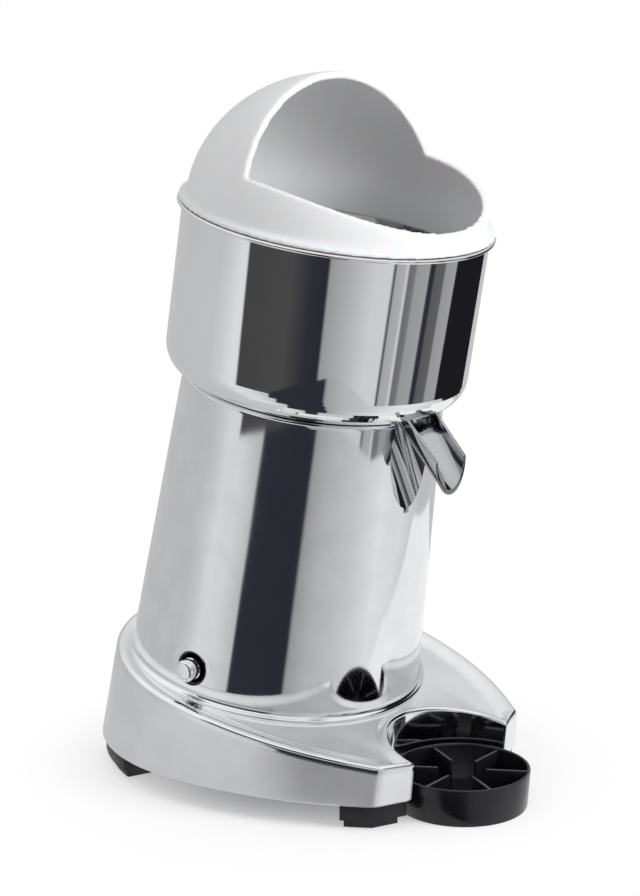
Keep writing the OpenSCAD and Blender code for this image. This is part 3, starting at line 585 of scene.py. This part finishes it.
def guard():
    inner, flange_r, flange_t = GUARD_R - GUARD_WALL, 84.45, 2.4
    skirt_r, skirt = 80.5, 18.0
    dome = [(math.cos(math.radians(a)), math.sin(math.radians(a))) for a in range(0, 91, 3)]
    profile = [(inner * c, (GUARD_RISE - GUARD_WALL) * s) for c, s in dome[::-1]]
    profile[0] = (0, GUARD_RISE - GUARD_WALL)
    profile += [(inner, -skirt), (skirt_r, -skirt), (skirt_r, 0), (flange_r, 0), (flange_r, flange_t),
                (GUARD_R + 2.2, flange_t), (GUARD_R + 0.7, flange_t + 0.8),
                (GUARD_R, flange_t + 2.4)]
    profile += [(GUARD_R * c, GUARD_RISE * s) for c, s in dome[2:-1]] + [(0, GUARD_RISE)]
    place = TOWER @ Matrix.Translation((0, 0, GUARD_H))
    piece = turned("guard", profile, place, 160)
    side_y = LIP_SIDE * math.tan(ARCH_LEAN) - ARCH_FRONT
    lip = []
    for i in range(0, 25):
        s = i / 24
        lip.append((side_y - s * (side_y + GUARD_R),
                    LIP_SIDE - s * (LIP_SIDE - LIP_FRONT) + 4 * LIP_BULGE * s * (1 - s)))
    far = 200.0
    opening = lip + [(-far, LIP_FRONT), (-far, far), (far * math.tan(ARCH_LEAN) - ARCH_FRONT, far)]
    rows = [[Vector((x, y, z)) for y, z in opening] for x in (-far, far)]
    cut(piece, lofted("opening", rows, place))
    baked(piece, "REMESH", mode="VOXEL", voxel_size=1.05 * MM, use_smooth_shade=True)
    baked(piece, "SMOOTH", factor=0.5, iterations=5)
    return finished(piece, "splash_guard_shell", "guard", "splash_guard", "white", 180)


guard()


# The reamer: sharp ribs that run together at a blunt tip
REAMER_LOW, REAMER_R, REAMER_H, RIBS = 242.0, 36.0, 46.0, 12


def reamer():
    base_t, tip_r, levels, flute_n = 3.0, 3.0, 28, 8
    rise = REAMER_H - base_t
    count = RIBS * flute_n
    base = [(REAMER_R, 0.0), (REAMER_R, base_t - 0.6), (REAMER_R - 0.6, base_t)]
    rows = []
    for r, z in base:
        rows.append([Vector((r * math.cos(2 * math.pi * k / count), r * math.sin(2 * math.pi * k / count), z))
                     for k in range(count)])
    for i in range(levels):
        t = i / levels
        r = (REAMER_R - tip_r - 1) * (1 - t ** 1.7) ** 0.8 + tip_r
        row = []
        for k in range(count):
            u = abs(2 * (k % flute_n) / flute_n - 1)
            depth = 0.21 * (1 - t * t) * (1 - u ** 1.6)
            a = 2 * math.pi * k / count
            at = r * (1 - depth)
            row.append(Vector((at * math.cos(a), at * math.sin(a), base_t + rise * t)))
        rows.append(row)
    last = rows[-1]
    rows.append([Vector((p.x * 0.6, p.y * 0.6, base_t + rise - 0.4)) for p in last])
    place = TOWER @ Matrix.Translation((0, 0, REAMER_LOW))
    piece = lofted("cone", rows, place)
    skirt = turned("skirt", [(18, -6), (20, -6), (20, 1), (18, 1)], place, 96)
    joined(piece, skirt)
    cut(piece, rod(5.05, -1, 34.2, place), block((-11.3, -1.8, -1), (22.6, 3.6, 13), place))
    return finished(piece, "ribbed_reamer", "reamer", "reamer", "white", 40)


reamer()


# The drip tray: a cup with rounded rim and upright ribs round an open middle
def tray():
    r, h, wall, draft, ribs = 36.5, 20.8, 1.8, 1.3, 6
    low = r - draft
    profile = [(0, 0), (low - 1.2, 0), (low - 0.35, 0.35), (low, 1.2), (r - 0.05, h - 0.8),
               (r - 0.3, h - 0.2), (r - 0.75, h), (r - 1.15, h - 0.05), (r - wall + 0.1, h - 0.5),
               (r - wall - 0.1, h - 1.4),
               (low - wall - 0.1, wall + 1.5), (low - wall - 1.2, wall), (0, wall)]
    place = BASE @ Matrix.Translation((0, -TRAY_AHEAD, 0))
    cup = turned("cup", profile, place, 144)
    for i in range(ribs):
        spin = Matrix.Rotation(math.radians(3.5 + 360 * i / ribs), 4, "Z")
        corner, size = (r * 0.35, -wall / 2, 1), (r * 0.65 - wall * 0.7, wall, h - 2.0)
        joined(cup, block(corner, size, place @ spin, 0.45))
    return finished(cup, "tray_cup", "tray", "drip_tray", "tray")


tray()


# The push button: a flat chrome cap with a grooved edge on its stem
def button():
    face = tower_r(SWITCH_H)
    top, r = face + 8, 6.0
    groove_r, stem_r, stem_low = 5.5, 3.7, 51.4
    profile = [(0, top), (3.5, top - 0.05), (5.0, top - 0.2), (5.6, top - 0.6), (5.9, top - 1.2),
               (r, top - 2.0), (r, top - 6.0), (groove_r, top - 6.4), (groove_r, top - 7.4), (r, top - 7.8),
               (r, top - 13), (stem_r, top - 13), (stem_r, stem_low), (0, stem_low)]
    piece = turned("button", profile, SWITCH, 72)
    return finished(piece, "button_cap", "button", "switch_button", "chrome")


button()


# Pieces that keep their CAD shape, with broken edges; the front feet also end a little sooner
def softened(node, body, finish, width, keep_ahead=None):
    bm = bmesh.new()
    bm.from_mesh(cad(node).data)
    bmesh.ops.remove_doubles(bm, verts=bm.verts, dist=1e-6)
    bmesh.ops.dissolve_limit(bm, angle_limit=math.radians(1), verts=bm.verts, edges=bm.edges)
    if keep_ahead is not None:
        bmesh.ops.bisect_plane(bm, geom=bm.verts[:] + bm.edges[:] + bm.faces[:], plane_no=(0, 1, 0),
                               plane_co=(0, keep_ahead * MM, 0), clear_outer=True)
        bmesh.ops.holes_fill(bm, edges=[e for e in bm.edges if e.is_boundary])
    corners = [e for e in bm.edges if e.is_manifold and e.calc_face_angle(0) > math.radians(40)]
    bmesh.ops.bevel(bm, geom=corners, offset=width * MM, segments=2, profile=0.5, material=-1, affect="EDGES",
                    clamp_overlap=True)
    mesh = bpy.data.meshes.new(node)
    bm.to_mesh(mesh)
    bm.free()
    piece = bpy.data.objects.new(node, mesh)
    bpy.context.collection.objects.link(piece)
    return finished(piece, node + "_piece", body, node, finish)


REAR_EDGE, FRONT_EDGE = 2.2, 1.6      # how far the feet's edges are broken
FRONT_FOOT_BACK = 103.5               # where the front feet end towards the back
for name in ("rear_left_foot", "rear_right_foot"):
    softened(name, "housing", "rubber", REAR_EDGE)
for name in ("front_left_foot", "front_right_foot"):
    softened(name, "housing", "rubber", FRONT_EDGE, BASE_Y - FRONT_FOOT_BACK)
softened("cord_gland", "housing", "black", 0.8)
softened("spout", "bowl", "spout", 0.45)


# The studio: a pale floor, a white room with darker walls for the metal to reflect, and soft lamps
def stage_piece(name, bm, material):
    mesh = bpy.data.meshes.new(name)
    bm.to_mesh(mesh)
    bm.free()
    piece = bpy.data.objects.new(name, mesh)
    bpy.context.collection.objects.link(piece)
    mesh.materials.append(material)
    return piece


FADE_FROM, FADE_TO = 0.03, 0.18       # where the floor runs into white, from the middle


def floor_material():
    """Pale floor that keeps the object's shadow and runs into the white behind it."""
    f = Finish("floor", (0.95, 0.95, 0.955), 0.8)
    f.set(Specular_IOR_Level=0.0)
    far = f.node("Emission", Color=(1, 1, 1, 1))
    length = f.node("VectorMath", operation="LENGTH")
    f.tree.links.new(f.place, length.inputs[0])
    fade = f.node("MapRange", interpolation_type="SMOOTHSTEP")
    fade.inputs["From Min"].default_value = FADE_FROM
    fade.inputs["From Max"].default_value = FADE_TO
    f.tree.links.new(length.outputs["Value"], fade.inputs["Value"])
    seen = f.node("Math", operation="MULTIPLY")
    f.tree.links.new(fade.outputs[0], seen.inputs[0])
    f.tree.links.new(f.node("LightPath").outputs["Is Camera Ray"], seen.inputs[1])
    mix = f.node("MixShader")
    f.tree.links.new(seen.outputs[0], mix.inputs[0])
    f.tree.links.new(f.shader.outputs[0], mix.inputs[1])
    f.tree.links.new(far.outputs[0], mix.inputs[2])
    f.tree.links.new(mix.outputs[0], f.tree.nodes["Material Output"].inputs["Surface"])
    return f.material


def cool(v, dark, blue, dark_blue):
    """A grey with a touch of blue, which is stronger in the tones up to dark."""
    return (v, v, v * (blue if v > dark else dark_blue))


def glow(name):
    """A surface that shines by itself, in the colour that is linked to its emission."""
    f = Finish(name, (0, 0, 0), 1.0)
    emission = f.node("Emission")
    f.tree.links.new(emission.outputs[0], f.tree.nodes["Material Output"].inputs["Surface"])
    return f, emission


floor_mesh = bmesh.new()
bmesh.ops.create_grid(floor_mesh, x_segments=1, y_segments=1, size=6)
floor = stage_piece("floor", floor_mesh, floor_material())
floor.visible_glossy = False

# a pale table top under the machine, which only the metal sees
TABLE = [(-180, 0.24), (-120, 0.24), (-95, 0.20), (-88, 0.13), (-50, 0.13), (6, 0.15), (30, 0.23),
         (60, 0.42), (90, 0.52), (125, 0.40), (150, 0.28)]


def table_material():
    f, emission = glow("table_white")
    split = f.node("SeparateXYZ")
    f.tree.links.new(f.place, split.inputs[0])
    share = f.node("MapRange")
    share.inputs["From Min"].default_value = -0.06
    share.inputs["From Max"].default_value = 0.06
    f.tree.links.new(split.outputs[0], share.inputs["Value"])
    f.tree.links.new(f.ramp(share.outputs[0], [(0, 0.60), (1, 0.95)]), emission.inputs["Color"])
    return f.material


top_mesh = bmesh.new()
corners = [(r * math.sin(math.radians(a)), -r * math.cos(math.radians(a)), 0) for a, r in TABLE]
bmesh.ops.edgeloop_fill(top_mesh, edges=outline(top_mesh, corners))
table_top = stage_piece("table_top", top_mesh, table_material())
table_top.visible_camera = table_top.visible_diffuse = table_top.visible_shadow = False
table_top.visible_transmission = False

# a striped card round the bowl: degrees from the front, and how light each stripe is. The directions follow
# from where bands lie on the bowl in the photograph, and the lightness was adjusted to readings of it
CARD_R, CARD_TOP = 0.30, 0.33
CARD_LOW = [(-106, 0.160), (-40, 0.130), (0, 0.080), (85, 0.100)]
STRIPES = [(-106, 0.75), (-104.5, 0.060), (-75, 0.070), (-62, 0.030), (-52.5, 0.024), (-51, 0.34),
           (-35, 0.50), (-22, 0.66), (-11, 0.68), (-10, 0.10), (-8.6, 0.12), (-8.2, 0.42), (-1.8, 0.46),
           (-1.2, 0.66), (0.3, 0.60), (0.8, 0.16), (5.5, 0.20), (6.5, 0.34), (16.8, 0.38), (17.4, 0.03),
           (21.2, 0.03), (22, 0.11), (30.5, 0.13), (31.5, 0.34), (42.3, 0.38), (43.2, 0.012),
           (85, 0.012)]
SPAN = STRIPES[-1][0] - STRIPES[0][0]


def card_low(degrees):
    for (a, low), (b, high) in zip(CARD_LOW, CARD_LOW[1:]):
        if degrees <= b:
            return low + (high - low) * max(0.0, degrees - a) / (b - a)
    return CARD_LOW[-1][1]


def card_material():
    """Seen only in the first reflection, and clear in the ones after it."""
    f, emission = glow("card_stripes")
    split = f.node("SeparateXYZ")
    f.tree.links.new(f.place, split.inputs[0])
    back = f.node("Math", operation="MULTIPLY")
    f.tree.links.new(split.outputs[1], back.inputs[0])
    back.inputs[1].default_value = -1
    turn = f.node("Math", operation="ARCTAN2")
    f.tree.links.new(split.outputs[0], turn.inputs[0])
    f.tree.links.new(back.outputs[0], turn.inputs[1])
    share = f.node("MapRange")
    share.inputs["From Min"].default_value = math.radians(STRIPES[0][0])
    share.inputs["From Max"].default_value = math.radians(STRIPES[-1][0])
    f.tree.links.new(turn.outputs[0], share.inputs["Value"])
    stops = [((a - STRIPES[0][0]) / SPAN, cool(v, 0.05, 1.02, 1.3)) for a, v in STRIPES]
    f.tree.links.new(f.ramp(share.outputs[0], stops), emission.inputs["Color"])
    later = f.node("Math", operation="GREATER_THAN")
    f.tree.links.new(f.node("LightPath").outputs["Glossy Depth"], later.inputs[0])
    later.inputs[1].default_value = 1.5
    mix = f.node("MixShader")
    f.tree.links.new(later.outputs[0], mix.inputs[0])
    f.tree.links.new(emission.outputs[0], mix.inputs[1])
    f.tree.links.new(f.node("BsdfTransparent").outputs[0], mix.inputs[2])
    f.tree.links.new(mix.outputs[0], f.tree.nodes["Material Output"].inputs["Surface"])
    return f.material


card_mesh = bmesh.new()
upright = outline(card_mesh, [(0, -CARD_R, 0), (0, -CARD_R, CARD_TOP)], closed=False)
bmesh.ops.rotate(card_mesh, cent=(0, 0, 0), verts=card_mesh.verts,
                 matrix=Matrix.Rotation(math.radians(STRIPES[0][0]), 3, "Z"))
bmesh.ops.spin(card_mesh, geom=card_mesh.verts[:] + upright, cent=(0, 0, 0), axis=(0, 0, 1), dvec=(0, 0, 0),
               angle=math.radians(SPAN), steps=64, use_merge=False, use_duplicate=False)
for v in card_mesh.verts:
    if v.co.z < CARD_TOP / 2:
        v.co.z = card_low(math.degrees(math.atan2(v.co.x, -v.co.y)))
card = stage_piece("striped_card", card_mesh, card_material())
card.visible_camera = card.visible_diffuse = card.visible_shadow = card.visible_transmission = False

SOFT_LEVEL = 0.53         # how strongly the white room lights what isn't a mirror
world = bpy.data.worlds.new("world")
bpy.context.scene.world = world
world.use_nodes = True
wt = world.node_tree
wt.nodes.clear()


def wn(kind, **values):
    n = wt.nodes.new("ShaderNode" + kind)
    for key, value in values.items():
        setattr(n, key, value)
    return n


def world_math(operation, *values):
    n = wn("Math", operation=operation)
    for i, v in enumerate(values):
        if isinstance(v, (int, float)):
            n.inputs[i].default_value = v
        else:
            wt.links.new(v, n.inputs[i])
    return n.outputs[0]


def world_ramp(fac, stops):
    ramp = wn("ValToRGB")
    e = ramp.color_ramp.elements
    while len(e) < len(stops):
        e.new(0.5)
    for i, (at, v) in enumerate(stops):
        e[i].position = at
        e[i].color = (*cool(v, 0.1, 1.01, 1.35), 1)
    wt.links.new(fac, ramp.inputs["Fac"])
    return ramp.outputs[0]


# the walls of the room, found and adjusted in the same way: degrees from the front, and how light
WALLS = [(-180, 0.56), (-140, 0.58), (-129, 0.66), (-120, 0.78), (-104, 0.74), (-90, 0.58), (-88.5, 0.030),
         (-46, 0.026), (-44.5, 0.36), (-30, 0.50), (-14, 0.58), (0, 0.66), (24, 0.86), (48, 0.80), (75, 0.60),
         (120, 0.58), (180, 0.56)]
split = wn("SeparateXYZ")
wt.links.new(wn("TexCoord").outputs["Generated"], split.inputs[0])
turn = world_math("ARCTAN2", split.outputs[0], world_math("MULTIPLY", split.outputs[1], -1))
share = world_math("MULTIPLY_ADD", turn, 0.5 / math.pi, 0.5)
walls = world_ramp(share, [((a + 180) / 360, v) for a, v in WALLS])
ceiling = world_ramp(split.outputs[2], [(0.0, 0.50), (0.30, 0.56), (0.75, 1.0)])
up = wn("MapRange")
up.inputs["From Min"].default_value = 0.05
up.inputs["From Max"].default_value = 0.30
wt.links.new(split.outputs[2], up.inputs["Value"])
room = wn("Mix", data_type="RGBA")
wt.links.new(up.outputs[0], room.inputs["Factor"])
wt.links.new(walls, room.inputs[6])
wt.links.new(ceiling, room.inputs[7])
path = wn("LightPath")


def background(color, strength):
    n = wn("Background")
    n.inputs["Strength"].default_value = strength
    if isinstance(color, float):
        n.inputs["Color"].default_value = (color, color, color, 1)
    else:
        wt.links.new(color, n.inputs["Color"])
    return n.outputs[0]


def mixed(fac, a, b):
    n = wn("MixShader")
    wt.links.new(fac, n.inputs[0])
    wt.links.new(a, n.inputs[1])
    wt.links.new(b, n.inputs[2])
    return n.outputs[0]


white = background(1.0, 1.0)
seen = mixed(path.outputs["Is Glossy Ray"], background(1.0, SOFT_LEVEL), background(room.outputs[2], 1.0))
seen = mixed(path.outputs["Is Transmission Ray"], seen, white)
seen = mixed(path.outputs["Is Camera Ray"], seen, white)
wt.links.new(seen, wn("OutputWorld").inputs["Surface"])


def lamp(name, where, aim, size, power):
    light = bpy.data.lights.new(name, "AREA")
    light.shape, light.size, light.size_y, light.energy = "RECTANGLE", size, size, power
    piece = bpy.data.objects.new(name, light)
    bpy.context.collection.objects.link(piece)
    piece.location = where
    piece.rotation_mode = "QUATERNION"
    piece.rotation_quaternion = (Vector(aim) - Vector(where)).to_track_quat("-Z", "Y")
    piece.visible_glossy = False


lamp("key", (0.4, -1.7, 1.0), (0, 0, 0.2), 0.9, 27)
lamp("top", (-0.5, 0.4, 1.9), (0, 0, 0.2), 1.2, 7)
